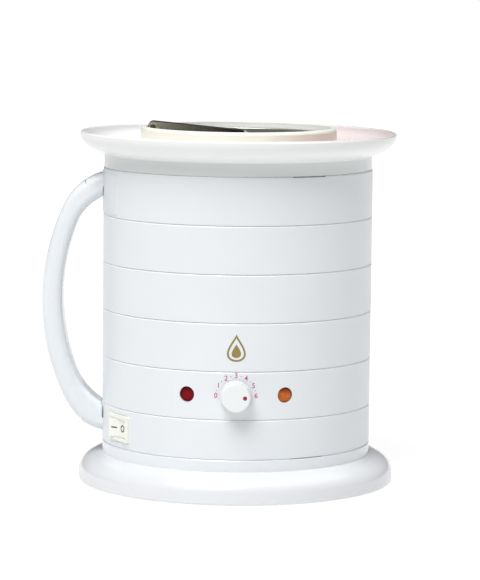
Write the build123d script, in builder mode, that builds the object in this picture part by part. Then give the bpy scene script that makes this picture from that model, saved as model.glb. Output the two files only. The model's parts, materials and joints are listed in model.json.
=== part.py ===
from build123d import *
from math import acos, asin, cos, degrees, radians, sin, sqrt
import os

# A salon wax warmer: a round barrel with a drip dish on top, a lift-out container with a
# folding handle, a mug handle on the left, and the heating parts inside.
# Millimetres. +Z is up, the front faces -Y, and the origin is on the barrel's axis where
# the unit stands on its foot ring.

# ---- Driving dimensions -------------------------------------------------------------

# Barrel, seams and grooves
BARREL_R = 75.0
WALL = 2.6
BARREL_IN_R = BARREL_R - WALL
SEAM_LOW = 23.2  # where the barrel meets the base skirt
SEAM_TOP = 175.9  # where the barrel meets the drip dish's collar
BAND_PITCH = 26.2
GROOVE_COUNT = 5
GROOVE_DEPTH = 0.7
GROOVE_HEIGHT = 1.0
SPIGOT_GAP = 0.2  # barrel to the spigots that locate it
SPIGOT_WALL = 2.4
SPIGOT_LONG = 6.0  # at the dish
SPIGOT_SHORT = 3.4  # at the base, where the switch and gland sit just above it
SLOT_START = 23.2  # service slots in both seams, in degrees to the right of the front
SLOT_ARC = 16.0
SLOT_HIGH = 0.6
SLOT_DEEP = 1.2
HOLE_GAP = 0.1  # between a hole and what passes through it

# Base skirt, plate and foot
FOOT_PROUD = 0.4  # the foot ring stands this far below the skirt
FLARE_R = 88.0
FLARE_CREST = 5.6  # height of the skirt's widest circle
FLARE_DROP = 10.8  # the flare's vertical half axis
FLARE_REACH = 15.5  # and its horizontal one
LIP_R = 0.8
WEB_LOW = 17.0
WEB_TOP = 19.4
WEB_IN_R = 58.0
PLATE_R = 84.8
PLATE_LOW = 2.0
PLATE_THICK = 2.2
FOOT_IN_R = 71.0
FOOT_OUT_R = 79.0
FOOT_TOP = 3.0
PILLAR_RING = 64.0
PILLAR_R = 4.0
PLATE_SCREW_R = 1.5
PLATE_SCREW_LONG = 13.0
SCREW_HEAD_R = 3.2
SCREW_HEAD_LOW = 0.9
RECESS_LONG = 3.4
RECESS_WIDE = 0.8
RECESS_DEEP = 0.7
FOOT_CHAMFER = 0.4
VENT_RINGS = ((42.0, 12, 16.0), (24.0, 8, 12.0))  # radius, number and length of the slots
VENT_WIDE = 3.0

# Drip dish
COLLAR_R = 74.6
RIM_R = 88.0
RIM_Z = 194.6
DISH_REACH = 20.0
DISH_DROP = 11.9
DISH_WALL = 2.0
DISH_FLOOR = 184.9
DISH_UNDER = 182.6
DISH_EYE_R = 55.4

# Cream inner ring
RING_OUT_R = 54.7
RING_IN_R = 51.4
RING_GAP = 0.1  # below the dish's floor
RING_SHOULDER = 196.6
RING_TOP = 198.3
RING_STEP = 192.2  # the ledge that carries the heating well
RING_LOW = 176.0
RING_NECK_R = 49.9
RING_NECK_WALL = 3.4
RING_FLANGE_R = 60.0
RING_FLANGE_LOW = 180.2
RING_EDGE = 0.7
RING_CROWN = (0.8, 1.25)  # the crown's first bend, inward and upward from the shoulder

# Heating well and container
WELL_R = 49.8
WELL_WALL = 1.2
WELL_FLOOR = 83.2
WELL_CORNER = 6.0
POT_R = 47.8
POT_WALL = 1.0
POT_LOW = 83.6
POT_RIM_LOW = RING_STEP + WELL_WALL
POT_RIM_TOP = 194.9
POT_RIM_R = 50.8
POT_CORNER = 5.0
POT_RIM_ROUND = 0.6

# Folding handle of the container
PIVOT_X = -47.6
PIVOT_Z = 198.0
FOLD_SLOPE = -5.3  # it lies this many degrees below level when folded
CHANNEL_WIDE = 12.0
CHANNEL_SKIN = 0.9
CHANNEL_HALF = 2.9  # half the channel's height, and its end radius
CHANNEL_LONG = 49.5  # pivot to where the tip begins to curl
TIP_R = 4.6
PIN_R = 1.0
PIN_GAP = 0.06
EAR_GAP = 0.25
EAR_THICK = 1.2
EAR_R = 2.4
NECK_X = -44.2  # the ears' necks pass inside the container's wall here
NECK_HALF = 1.5
NECK_RISE = 0.8  # above the container's rim, inside
NECK_BACK_RISE = 0.4  # and outside
HINGE_LOW = 181.0
NECK_LOW = HINGE_LOW + 4.0
HINGE_HIGH = 191.0
HINGE_RIVET_Y = 3.8
HINGE_RIVET_Z = 186.5
HINGE_RIVET_R = 1.2
HINGE_RIVET_GAP = 0.05
RIVET_HEAD_R = 2.1
RIVET_HEAD_THICK = 0.9
RIVET_HEAD_ROUND = 0.5
RIVET_SEAT_GAP = 0.5  # from the bracket's leaf to the rivet's head
RIVET_SINK = 0.25  # the flush tail stops this far inside the container's outer face
EAR_LEAN = (0.8, 0.6)  # where the ear's straight sides meet its round, as shares of EAR_R
LEAF_HOLE_REACH = 6.0
PIN_HEAD_R = 1.6
PIN_HEAD_THICK = 0.7
PIN_HEAD_ROUND = 0.4
TIP_TURN = 68.0  # how far the web curls down at the tip, in degrees

# Mug handle. Its two edges are chains of tangent arcs in the XZ plane: (radius, turn).
HANDLE_AZ = 180.0
GRIP_WIDE = 24.0
GRIP_ROUND = 4.6
GRIP_ROOT_X = -72.2
OUTER_START = (GRIP_ROOT_X, 172.6)
OUTER_HEADING = 185.3
OUTER_ARCS = ((25.1, 16.8), (33.1, 42.9), (125.6, 50.5), (47.4, 18.1), (21.9, 31.0))
OUTER_ROOT = (GRIP_ROOT_X, 27.2)
INNER_ROOT = (GRIP_ROOT_X, 161.1)
INNER_START = (-78.7, 157.0)
INNER_HEADING = 212.2
INNER_ARCS = ((27.3, 36.7), (115.7, 41.6), (36.0, 47.1))
GRIP_STAND_OFF = 0.8  # from the barrel to the cut ends of the grip
GRIP_END_R = BARREL_R + GRIP_STAND_OFF
BOSS_SINK = 1.0  # the boss and its screw hole start this far inside the barrel's face
BOSS_OUT = 0.9
BOSS_HOLE_OUT = 4.0

# Its brackets: each is a wedge over the grip's end, and a thin pad on the barrel
WEDGE_ROOT_X = -BARREL_R + 1.5
STEP_GAP = 0.35  # the open joint at a wedge's thin end
HEAD_GAP = 0.2  # from the barrel's inner face to a handle screw's head
HIGH_STEP = ((-85.6, 169.5), (-84.4, 166.3))
HIGH_FLAT = 164.7
HIGH_BEYOND = 185.0
LOW_STEP = ((-87.8, 32.0), (-86.5, 35.2))
LOW_FLAT = 35.2
LOW_BEYOND = 15.0
PAD_THICK = 0.4
HIGH_PAD = (151.2, 173.2, 28.5)  # lowest and highest point, and half its angle
LOW_PAD = (29.0, 43.0, 7.0)
HIGH_PAD_CORNERS = (3.0, 14.0)  # the corners' radii below and above
LOW_PAD_CORNERS = (3.0, 3.0)
BOSS_R = 3.1
HANDLE_SCREW_R = 1.9
HANDLE_HIGH_Z = 161.9
HANDLE_LOW_Z = 39.0
SCREW_REACH_HIGH = 11.5
SCREW_REACH_LOW = 12.0
PILOT_EXTRA = 0.4
NUT_HEAD_R = 3.5
NUT_HEAD_THICK = 2.4

# Controls
CONTROL_Z = SEAM_TOP - 4.5 * BAND_PITCH
FRONT = -90.0
LAMP_SPREAD = 20.7
LAMP_HOLE_R = 4.25
KNOB_R = 8.6
KNOB_FACE_R = 7.8
KNOB_BACK = 75.5
KNOB_DEPTH = 8.5
BUSH_R = 4.8
SPINDLE_R = 3.0
SPINDLE_GAP = 0.06
SWITCH_AZ = FRONT - 59.0
SWITCH_Z = (SEAM_LOW + SEAM_TOP - 5 * BAND_PITCH) / 2
BEZEL_LONG = 21.0
BEZEL_HIGH = 15.0
ROCKER_TILT = 10.0
SEAT_GAP = 0.4
SWITCH_SEAT = sqrt(BARREL_R**2 - ((BEZEL_LONG + SEAT_GAP) / 2) ** 2)
CUTOUT_LONG = 19.2
CUTOUT_HIGH = 12.9
CUT_DEEP = 5.0  # how far cuts run to each side of the barrel's wall
BEZEL_THICK = 1.6
BEZEL_CORNER = 1.2
BEZEL_ROUND = 0.6
HOUSING_LONG = 18.8
HOUSING_HIGH = 12.5
HOUSING_DEEP = 16.0
MOUTH_LONG = 16.6
MOUTH_HIGH = 10.4
MOUTH_DEEP = 4.0  # from the rocker's axis to the floor of the housing
PIVOT_IN = 2.3  # the rocker's axis lies this far behind the seat
SWITCH_PIN_R = 1.2
SWITCH_PIN_GAP = 0.06
ROCKER_HIGH = 10.0
ROCKER_HALF = 7.4
ROCKER_END = 4.4
ROCKER_MID = 3.1
ROCKER_NARROW = 0.5  # each end narrows by this much towards the axis
ROCKER_KEEL = (4.0, 2.5)  # the underside's half width and depth
PIN_SHOULDER = 0.6
TERMINAL_LONG = 8.0
TERMINAL_PITCH = (10.0, 7.0)
SPADE_THICK = 0.8
SPADE_WIDE = 4.8
GLAND_AZ = 90.0
GLAND_Z = 34.0
GLAND_BORE_R = 3.6
GLAND_R = 6.0
GLAND_IN = 9.0  # how far it reaches behind the barrel's wall
GLAND_FLANGE_R = 9.0
GLAND_FLANGE = 2.4
GLAND_ROUND = 0.8
GLAND_BORE_PAST = 1.0  # the bore is cut from this far past the gland's inner end
GLAND_NUT_R = 7.4
GLAND_NUT_THICK = 4.0
GLAND_NUT_IN = 4.9

# Terminal block
BLOCK_AZ = 60.0
BLOCK_R = 63.5
BLOCK_SIZE = (9.0, 26.0)
BLOCK_HIGH = 13.0
BLOCK_FLOOR = 3.0
WAYS = (-8.0, 0.0, 8.0)
WAY_R = 2.2
BLOCK_SCREW_R = 2.15
BLOCK_SCREW_LONG = 7.0
DRIVER_SLOT = (3.4, 0.6)

# Knob, thermostat and lamps
KNOB_EDGE = 0.9
KNOB_HOLLOW_R = 7.2
KNOB_HOLLOW = 2.9
DOT_PLACE = 4.9  # the pointer dot's distance above the knob's centre
DOT_R = 1.15
DOT_DEEP = 0.6
DOT_PROUD = 0.02
SPINDLE_TIP = KNOB_BACK + KNOB_DEPTH - 1.6
SPINDLE_IN = 6.0  # how far it starts in front of the thermostat's back
D_FLAT = 2.2
BUSH_END = 77.4
THERMO_BACK = 44.0
THERMO_FRONT = 68.0
THERMO_SIZE = 30.0
THERMO_CORNER = 2.0
THERMO_SPADE = (0.8, 6.3)
SPINDLE_CLEAR = 0.5  # the bush's bore starts this far past the spindle's inner end
THERMO_SPADE_PITCH = 20.0
FLANGE_FRONT = BARREL_IN_R - 0.8
FLANGE_R = 9.0
NUT_R = 6.4
NUT_THICK = 1.9
LENS_BACK = BARREL_IN_R - 1.4
LENS_FLANGE_R = 5.6
LENS_FLANGE = 1.1
LENS_DOME = 1.7
LENS_ROUND = 0.8
LENS_HOLLOW_R = 3.2
LENS_HOLLOW = 1.9
HOLDER_R = 5.0
HOLDER_IN_R = 4.0
HOLDER_LONG = 12.0
HOLDER_WALL = 1.5
TAB_LONG = 5.0
TAB_SIZE = (0.8, 2.8)
TAB_PITCH = 4.0
BULB_R = 2.6
BULB_LONG = 9.0
BULB_ROUND = 2.2

# Heater and its insulation
HEATER_LOW = 94.0
HEATER_HIGH = 134.0
HEATER_THICK = 2.4
HEATER_GAP = 0.05
CLAMP_AZ = 45.0
CLAMP_GAP = 8.0
CLAMP_LOW = 108.0
CLAMP_HIGH = 120.0
CLAMP_THICK = 0.7
LUG_ARC = 0.8
LUG_OUT_R = 61.0
LUG_HOLE_R = 1.6
CLAMP_SCREW_R = 1.5
CLAMP_SCREW_HALF = 7.0
CLAMP_HEAD_R = 2.8
CLAMP_HEAD_THICK = 1.8
INSULATION_GAP = 34.0
INSULATION = (54.0, 63.4, 88.0, 172.0)  # inner and outer radius, lowest and highest
SHIELD = (64.0, 64.6, 80.0)
CUTOUT_CAP = (8.0, 6.0)  # the thermal cut-out's cap: radius and height
CUTOUT_BASE = (5.5, 3.5)
SENSOR_AZ = 225.0
SENSOR_R = 1.9
SENSOR_LOW = 138.0
SENSOR_LONG = 30.0
SENSOR_ROUND = 0.8


# ---- Helpers ------------------------------------------------------------------------


def meridian(azimuth):
    """The half plane at one azimuth: local x is the radius, local y is the height."""
    a = radians(azimuth)
    return Plane(origin=(0, 0, 0), x_dir=(cos(a), sin(a), 0), z_dir=(sin(a), -cos(a), 0))


def outward(azimuth, distance, height):
    """A plane that faces away from the axis: local y is up, local x is to the right."""
    a = radians(azimuth)
    return Plane(
        origin=(distance * cos(a), distance * sin(a), height),
        x_dir=(-sin(a), cos(a), 0),
        z_dir=(cos(a), sin(a), 0),
    )


def ellipse_height(radius, centre_r, centre_z, reach, drop):
    """How far above or below centre_z an ellipse passes at one radius."""
    return drop * sqrt(1 - ((radius - centre_r) / reach) ** 2)


def tube(in_r, out_r, low, high, start=0.0, arc=360.0):
    """A round wall, or part of one."""
    with BuildPart() as wall:
        with BuildSketch(meridian(start)):
            with Locations(((in_r + out_r) / 2, (low + high) / 2)):
                Rectangle(out_r - in_r, high - low)
        revolve(axis=Axis.Z, revolution_arc=arc)
    return wall


def service_slot(seam):
    """The space of a narrow prying slot in the edge just below a seam."""
    in_r = BARREL_R - SLOT_DEEP
    out_r = BARREL_R + SLOT_DEEP
    return tube(in_r, out_r, seam - SLOT_HIGH, seam, FRONT + SLOT_START, SLOT_ARC)


def outward_axis(azimuth):
    """The direction away from the barrel's axis at one azimuth, for sorting faces."""
    return Axis((0, 0, 0), (cos(radians(azimuth)), sin(radians(azimuth)), 0))


# ---- Base: skirt, plate, screws and foot ring ---------------------------------------

flare_centre_r = FLARE_R - FLARE_REACH
flare_turn = degrees(acos((BARREL_R - flare_centre_r) / FLARE_REACH))
flare_join = FLARE_CREST + ellipse_height(
    BARREL_R, flare_centre_r, FLARE_CREST, FLARE_REACH, FLARE_DROP
)
spigot_r = BARREL_IN_R - SPIGOT_GAP
lip_centre = (FLARE_R - LIP_R, FOOT_PROUD + LIP_R)
lip_45 = LIP_R * sin(radians(45))

with BuildPart() as base_skirt:
    with BuildSketch(Plane.XZ):
        with BuildLine():
            seam_edge = Line(
                (BARREL_R - GROOVE_DEPTH, SEAM_LOW), (BARREL_R, SEAM_LOW - GROOVE_HEIGHT)
            )
            Line(seam_edge @ 1, (BARREL_R, flare_join))
            EllipticalCenterArc(
                (flare_centre_r, FLARE_CREST), FLARE_REACH, FLARE_DROP, arc_size=flare_turn
            )
            lip_side = Line((FLARE_R, FLARE_CREST), (FLARE_R, lip_centre[1]))
            lip = ThreePointArc(
                lip_side @ 1,
                (lip_centre[0] + lip_45, lip_centre[1] - lip_45),
                (lip_centre[0], FOOT_PROUD),
            )
            under = Line(lip @ 1, (FLARE_R - WALL, FOOT_PROUD))
            Line(under @ 1, (FLARE_R - WALL, FLARE_CREST))
            EllipticalCenterArc(
                (flare_centre_r, FLARE_CREST), FLARE_REACH - WALL, FLARE_DROP - WALL
            )
            Polyline(
                (flare_centre_r, FLARE_CREST + FLARE_DROP - WALL),
                (flare_centre_r, WEB_LOW),
                (WEB_IN_R, WEB_LOW),
                (WEB_IN_R, WEB_TOP),
                (spigot_r - SPIGOT_WALL, WEB_TOP),
                (spigot_r - SPIGOT_WALL, SEAM_LOW + SPIGOT_SHORT),
                (spigot_r, SEAM_LOW + SPIGOT_SHORT),
                (spigot_r, SEAM_LOW),
                (BARREL_R - GROOVE_DEPTH, SEAM_LOW),
            )
        make_face()
    revolve(axis=Axis.Z)
    add(service_slot(SEAM_LOW).part, mode=Mode.SUBTRACT)
    # four pillars that the base plate screws into
    with BuildSketch(Plane.XY.offset(PLATE_LOW + PLATE_THICK)):
        with PolarLocations(PILLAR_RING, 4, start_angle=45):
            Circle(PILLAR_R)
            Circle(PLATE_SCREW_R, mode=Mode.SUBTRACT)
    extrude(until=Until.NEXT)

with BuildPart() as base_plate:
    with BuildSketch(Plane.XY.offset(PLATE_LOW)):
        Circle(PLATE_R)
    extrude(amount=PLATE_THICK)
    with BuildSketch(Plane.XY.offset(PLATE_LOW)):
        Circle(FOOT_OUT_R)
        Circle(FOOT_IN_R, mode=Mode.SUBTRACT)
    extrude(amount=FOOT_TOP - PLATE_LOW, mode=Mode.SUBTRACT)
    # cooling slots, in two rings
    with BuildSketch(Plane.XY.offset(PLATE_LOW)):
        for vent_ring, vent_count, vent_long in VENT_RINGS:
            with PolarLocations(vent_ring, vent_count):
                SlotOverall(vent_long, VENT_WIDE)
        with PolarLocations(PILLAR_RING, 4, start_angle=45):
            Circle(PLATE_SCREW_R + 2 * HOLE_GAP)
    extrude(amount=PLATE_THICK, mode=Mode.SUBTRACT)

with BuildPart() as base_screws:
    with BuildSketch(Plane.XY.offset(SCREW_HEAD_LOW)):
        with PolarLocations(PILLAR_RING, 4, start_angle=45):
            Circle(SCREW_HEAD_R)
    extrude(amount=PLATE_LOW - SCREW_HEAD_LOW)
    with BuildSketch(Plane.XY.offset(PLATE_LOW)):
        with PolarLocations(PILLAR_RING, 4, start_angle=45):
            Circle(PLATE_SCREW_R - 0.02)
    extrude(amount=PLATE_SCREW_LONG)
    # cross recesses in the heads
    with BuildSketch(Plane.XY.offset(SCREW_HEAD_LOW)):
        with PolarLocations(PILLAR_RING, 4, start_angle=45):
            Rectangle(RECESS_LONG, RECESS_WIDE)
            Rectangle(RECESS_WIDE, RECESS_LONG)
    extrude(amount=RECESS_DEEP, mode=Mode.SUBTRACT)

with BuildPart() as foot_ring:
    with BuildSketch(Plane.XY):
        Circle(FOOT_OUT_R - HOLE_GAP)
        Circle(FOOT_IN_R + HOLE_GAP, mode=Mode.SUBTRACT)
    extrude(amount=FOOT_TOP)
    chamfer(foot_ring.faces().sort_by(Axis.Z)[0].edges(), FOOT_CHAMFER)

# ---- Barrel -------------------------------------------------------------------------

groove_heights = [SEAM_TOP - BAND_PITCH * n for n in range(GROOVE_COUNT, 0, -1)]
barrel_outline = [(BARREL_IN_R, SEAM_LOW), (BARREL_R, SEAM_LOW)]
for groove in groove_heights:
    barrel_outline += [
        (BARREL_R, groove - GROOVE_HEIGHT),
        (BARREL_R - GROOVE_DEPTH, groove),
        (BARREL_R, groove),
    ]
barrel_outline += [
    (BARREL_R, SEAM_TOP - GROOVE_HEIGHT),
    (BARREL_R - GROOVE_DEPTH, SEAM_TOP),
    (BARREL_IN_R, SEAM_TOP),
]

with BuildPart() as body_shell:
    with BuildSketch(Plane.XZ):
        with BuildLine():
            Polyline(barrel_outline, close=True)
        make_face()
    revolve(axis=Axis.Z)
    add(service_slot(SEAM_TOP).part, mode=Mode.SUBTRACT)
    # round openings: thermostat bush, both lamps, mug handle screws, cord gland
    round_openings = [
        (FRONT, CONTROL_Z, BUSH_R + HOLE_GAP),
        (FRONT - LAMP_SPREAD, CONTROL_Z, LAMP_HOLE_R),
        (FRONT + LAMP_SPREAD, CONTROL_Z, LAMP_HOLE_R),
        (HANDLE_AZ, HANDLE_HIGH_Z, HANDLE_SCREW_R + HOLE_GAP),
        (HANDLE_AZ, HANDLE_LOW_Z, HANDLE_SCREW_R + HOLE_GAP),
        (GLAND_AZ, GLAND_Z, GLAND_R + HOLE_GAP),
    ]
    for azimuth, height, radius in round_openings:
        with BuildSketch(outward(azimuth, BARREL_R - CUT_DEEP, height)):
            Circle(radius)
        extrude(amount=2 * CUT_DEEP, mode=Mode.SUBTRACT)
    # flat seat and cut-out for the rocker switch
    with BuildSketch(outward(SWITCH_AZ, SWITCH_SEAT, SWITCH_Z)):
        Rectangle(BEZEL_LONG + SEAT_GAP, BEZEL_HIGH + SEAT_GAP)
    extrude(amount=CUT_DEEP, mode=Mode.SUBTRACT)
    with BuildSketch(outward(SWITCH_AZ, SWITCH_SEAT - CUT_DEEP, SWITCH_Z)):
        Rectangle(CUTOUT_LONG, CUTOUT_HIGH)
    extrude(amount=2 * CUT_DEEP, mode=Mode.SUBTRACT)

# ---- Drip dish ----------------------------------------------------------------------

dish_centre_r = RIM_R - DISH_REACH
collar_turn = degrees(acos((COLLAR_R - dish_centre_r) / DISH_REACH))
collar_top = RIM_Z - ellipse_height(COLLAR_R, dish_centre_r, RIM_Z, DISH_REACH, DISH_DROP)
dish_in_drop = RIM_Z - DISH_FLOOR
dish_in_reach = DISH_REACH - DISH_WALL

with BuildPart() as drip_dish:
    with BuildSketch(Plane.XZ):
        with BuildLine():
            Line((COLLAR_R, SEAM_TOP), (COLLAR_R, collar_top))
            EllipticalCenterArc(
                (dish_centre_r, RIM_Z), DISH_REACH, DISH_DROP, -collar_turn, arc_size=collar_turn
            )
            ThreePointArc(
                (RIM_R, RIM_Z),
                (RIM_R - DISH_WALL / 2, RIM_Z + DISH_WALL / 2),
                (RIM_R - DISH_WALL, RIM_Z),
            )
            EllipticalCenterArc(
                (dish_centre_r, RIM_Z), dish_in_reach, dish_in_drop, -90, arc_size=90
            )
            Polyline(
                (dish_centre_r, DISH_FLOOR),
                (DISH_EYE_R, DISH_FLOOR),
                (DISH_EYE_R, DISH_UNDER),
                (spigot_r - SPIGOT_WALL, DISH_UNDER),
                (spigot_r - SPIGOT_WALL, SEAM_TOP - SPIGOT_LONG),
                (spigot_r, SEAM_TOP - SPIGOT_LONG),
                (spigot_r, SEAM_TOP),
                (COLLAR_R, SEAM_TOP),
            )
        make_face()
    revolve(axis=Axis.Z)

# ---- Cream inner ring ---------------------------------------------------------------

with BuildPart() as inner_ring:
    with BuildSketch(Plane.XZ):
        with BuildLine():
            # the crown rises from the outer shoulder towards the opening
            Line((RING_OUT_R, DISH_UNDER - RING_GAP), (RING_OUT_R, RING_SHOULDER))
            ThreePointArc(
                (RING_OUT_R, RING_SHOULDER),
                (RING_OUT_R - RING_CROWN[0], RING_SHOULDER + RING_CROWN[1]),
                (RING_IN_R + RING_EDGE, RING_TOP),
            )
            ThreePointArc(
                (RING_IN_R + RING_EDGE, RING_TOP),
                (RING_IN_R + 0.2, RING_TOP - 0.2),
                (RING_IN_R, RING_TOP - RING_EDGE),
            )
            Polyline(
                (RING_IN_R, RING_TOP - RING_EDGE),
                (RING_IN_R, RING_STEP),
                (RING_NECK_R, RING_STEP),
                (RING_NECK_R, RING_LOW),
                (RING_NECK_R + RING_NECK_WALL, RING_LOW),
                (RING_NECK_R + RING_NECK_WALL, RING_FLANGE_LOW),
                (RING_FLANGE_R, RING_FLANGE_LOW),
                (RING_FLANGE_R, DISH_UNDER - RING_GAP),
                (RING_OUT_R, DISH_UNDER - RING_GAP),
            )
        make_face()
    revolve(axis=Axis.Z)

# ---- Heating well, container --------------------------------------------------------


def cup(out_r, wall, floor_low, rim_low, rim_top, rim_r, corner):
    """A drawn cup with a flange: the outside corner is rounded, the wall is even."""
    with BuildPart() as drawn:
        with BuildSketch(Plane.XZ):
            with BuildLine():
                Line((0, floor_low), (out_r - corner, floor_low))
                outside = JernArc((out_r - corner, floor_low), (1, 0), corner, 90)
                Polyline(
                    outside @ 1,
                    (out_r, rim_low),
                    (rim_r, rim_low),
                    (rim_r, rim_top),
                    (out_r - wall, rim_top),
                    (out_r - wall, floor_low + corner),
                )
                inside = JernArc((out_r - wall, floor_low + corner), (0, -1), corner - wall, -90)
                Polyline(inside @ 1, (0, floor_low + wall), (0, floor_low))
            make_face()
        revolve(axis=Axis.Z)
    return drawn


heating_well = cup(
    WELL_R, WELL_WALL, WELL_FLOOR - WELL_WALL, RING_STEP, POT_RIM_LOW, RING_IN_R - 0.2, WELL_CORNER
)

with BuildPart() as wax_container:
    add(cup(POT_R, POT_WALL, POT_LOW, POT_RIM_LOW, POT_RIM_TOP, POT_RIM_R, POT_CORNER).part)
    rim_top_edges = wax_container.edges().filter_by(GeomType.CIRCLE).group_by(Axis.Z)[-1]
    fillet(rim_top_edges, POT_RIM_ROUND)
    with BuildSketch(Plane.YZ.offset(-POT_R - 1)):
        with Locations(
            (HINGE_RIVET_Y, HINGE_RIVET_Z), (-HINGE_RIVET_Y, HINGE_RIVET_Z)
        ):
            Circle(HINGE_RIVET_R + HINGE_RIVET_GAP)
    extrude(amount=4, mode=Mode.SUBTRACT)

# ---- Hinge bracket, pin and folding handle ------------------------------------------

ear_in = CHANNEL_WIDE / 2 + EAR_GAP
ear_out = ear_in + EAR_THICK
hinge_out_r = POT_R - POT_WALL - HINGE_RIVET_GAP

with BuildPart() as hinge_bracket:
    # curved back plate against the inside of the container's wall
    half_span = degrees(asin(ear_out / hinge_out_r))
    with BuildSketch(meridian(180 - half_span)):
        with Locations((hinge_out_r - EAR_THICK / 2, (HINGE_LOW + HINGE_HIGH) / 2)):
            Rectangle(EAR_THICK, HINGE_HIGH - HINGE_LOW)
    revolve(axis=Axis.Z, revolution_arc=2 * half_span)
    # two ears, one each side of the channel
    for side in (-1, 1):
        with BuildSketch(Plane.XZ.offset(-side * (ear_in + EAR_THICK / 2))):
            with BuildLine():
                Polyline(
                    (NECK_X - NECK_HALF, NECK_LOW),
                    (NECK_X + NECK_HALF, NECK_LOW),
                    (NECK_X + NECK_HALF, POT_RIM_TOP + NECK_RISE),
                    (PIVOT_X + EAR_R * EAR_LEAN[0], PIVOT_Z + EAR_R * EAR_LEAN[1]),
                    (PIVOT_X - EAR_R * EAR_LEAN[1], PIVOT_Z - EAR_R * EAR_LEAN[0]),
                    (NECK_X - NECK_HALF, POT_RIM_TOP + NECK_BACK_RISE),
                    close=True,
                )
            make_face()
            with Locations((PIVOT_X, PIVOT_Z)):
                Circle(EAR_R)
                Circle(PIN_R + 0.05, mode=Mode.SUBTRACT)
        extrude(amount=EAR_THICK / 2, both=True)
    with BuildSketch(Plane.YZ.offset(-POT_R)):
        with Locations(
            (HINGE_RIVET_Y, HINGE_RIVET_Z), (-HINGE_RIVET_Y, HINGE_RIVET_Z)
        ):
            Circle(HINGE_RIVET_R + HINGE_RIVET_GAP)
    extrude(amount=LEAF_HOLE_REACH, mode=Mode.SUBTRACT)

rivet_head_x = -hinge_out_r + EAR_THICK + RIVET_SEAT_GAP
rivet_tail_x = -POT_R + RIVET_SINK
with BuildPart() as bracket_rivets:
    with BuildSketch(Plane.YZ.offset(rivet_tail_x)):
        with Locations(
            (HINGE_RIVET_Y, HINGE_RIVET_Z), (-HINGE_RIVET_Y, HINGE_RIVET_Z)
        ):
            Circle(HINGE_RIVET_R)
    extrude(amount=rivet_head_x - rivet_tail_x)
    with BuildSketch(Plane.YZ.offset(rivet_head_x)):
        with Locations(
            (HINGE_RIVET_Y, HINGE_RIVET_Z), (-HINGE_RIVET_Y, HINGE_RIVET_Z)
        ):
            Circle(RIVET_HEAD_R)
    extrude(amount=RIVET_HEAD_THICK)
    fillet(bracket_rivets.faces().sort_by(Axis.X)[-2:].edges(), RIVET_HEAD_ROUND)

with BuildPart() as hinge_pin:
    with BuildSketch(Plane.XZ):
        with Locations((PIVOT_X, PIVOT_Z)):
            Circle(PIN_R)
    extrude(amount=ear_out, both=True)
    for side in (-1, 1):
        with BuildSketch(Plane.XZ.offset(side * ear_out)):
            with Locations((PIVOT_X, PIVOT_Z)):
                Circle(PIN_HEAD_R)
        extrude(amount=side * PIN_HEAD_THICK)
    fillet(hinge_pin.faces().sort_by(Axis.Y)[0].edges(), PIN_HEAD_ROUND)
    fillet(hinge_pin.faces().sort_by(Axis.Y)[-1].edges(), PIN_HEAD_ROUND)

# The channel is drawn in its own plane: local x runs from the pivot to the tip.
slope = radians(FOLD_SLOPE)
channel_plane = Plane(
    origin=(PIVOT_X, 0, PIVOT_Z), x_dir=(cos(slope), 0, sin(slope)), z_dir=(0, -1, 0)
)


with BuildPart() as folding_handle:
    with BuildSketch(channel_plane.offset(-CHANNEL_WIDE / 2)):
        with BuildLine():
            ThreePointArc((0, -CHANNEL_HALF), (-CHANNEL_HALF, 0), (0, CHANNEL_HALF))
            Line((0, CHANNEL_HALF), (CHANNEL_LONG, CHANNEL_HALF))
            curl = JernArc((CHANNEL_LONG, CHANNEL_HALF), (1, 0), TIP_R, -TIP_TURN)
            Polyline(curl @ 1, (CHANNEL_LONG - 1.0, -CHANNEL_HALF), (0, -CHANNEL_HALF))
        make_face()
    extrude(amount=CHANNEL_WIDE)
    # hollow it from below: the web stays along the back, the round end and the curled tip
    hollow = CHANNEL_HALF - CHANNEL_SKIN
    open_side = -CHANNEL_HALF - 2.0
    with BuildSketch(channel_plane.offset(-(CHANNEL_WIDE / 2 - CHANNEL_SKIN))):
        with BuildLine():
            Polyline((0, open_side), (-hollow, open_side), (-hollow, 0))
            RadiusArc((-hollow, 0), (0, hollow), hollow)
            Line((0, hollow), (CHANNEL_LONG, hollow))
            curl = JernArc((CHANNEL_LONG, hollow), (1, 0), TIP_R - CHANNEL_SKIN, -TIP_TURN)
            Polyline(curl @ 1, ((curl @ 1).X, open_side), (0, open_side))
        make_face()
    extrude(amount=CHANNEL_WIDE - 2 * CHANNEL_SKIN, mode=Mode.SUBTRACT)
    with BuildSketch(channel_plane.offset(-CHANNEL_WIDE)):
        Circle(PIN_R + PIN_GAP)
    extrude(amount=2 * CHANNEL_WIDE, mode=Mode.SUBTRACT)

# ---- Mug handle: grip, brackets and screws ------------------------------------------


def arc_chain(start, heading, arcs):
    """Draw tangent arcs one after another, and give back where the last one ends."""
    place = start
    along = (cos(radians(heading)), sin(radians(heading)))
    for bend_r, bend_turn in arcs:
        bend = JernArc(place, along, bend_r, bend_turn)
        place = bend @ 1
        along = bend % 1
    return place


def wedge(step, flat, beyond, inset):
    """The outline that a bracket fills over the grip's end, cut short at the step by inset."""
    outer, inner = step
    return [
        (outer[0] + inset, outer[1]),
        (inner[0] + inset, inner[1]),
        (WEDGE_ROOT_X, flat),
        (WEDGE_ROOT_X, beyond),
        (outer[0] + inset, beyond),
    ]


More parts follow.
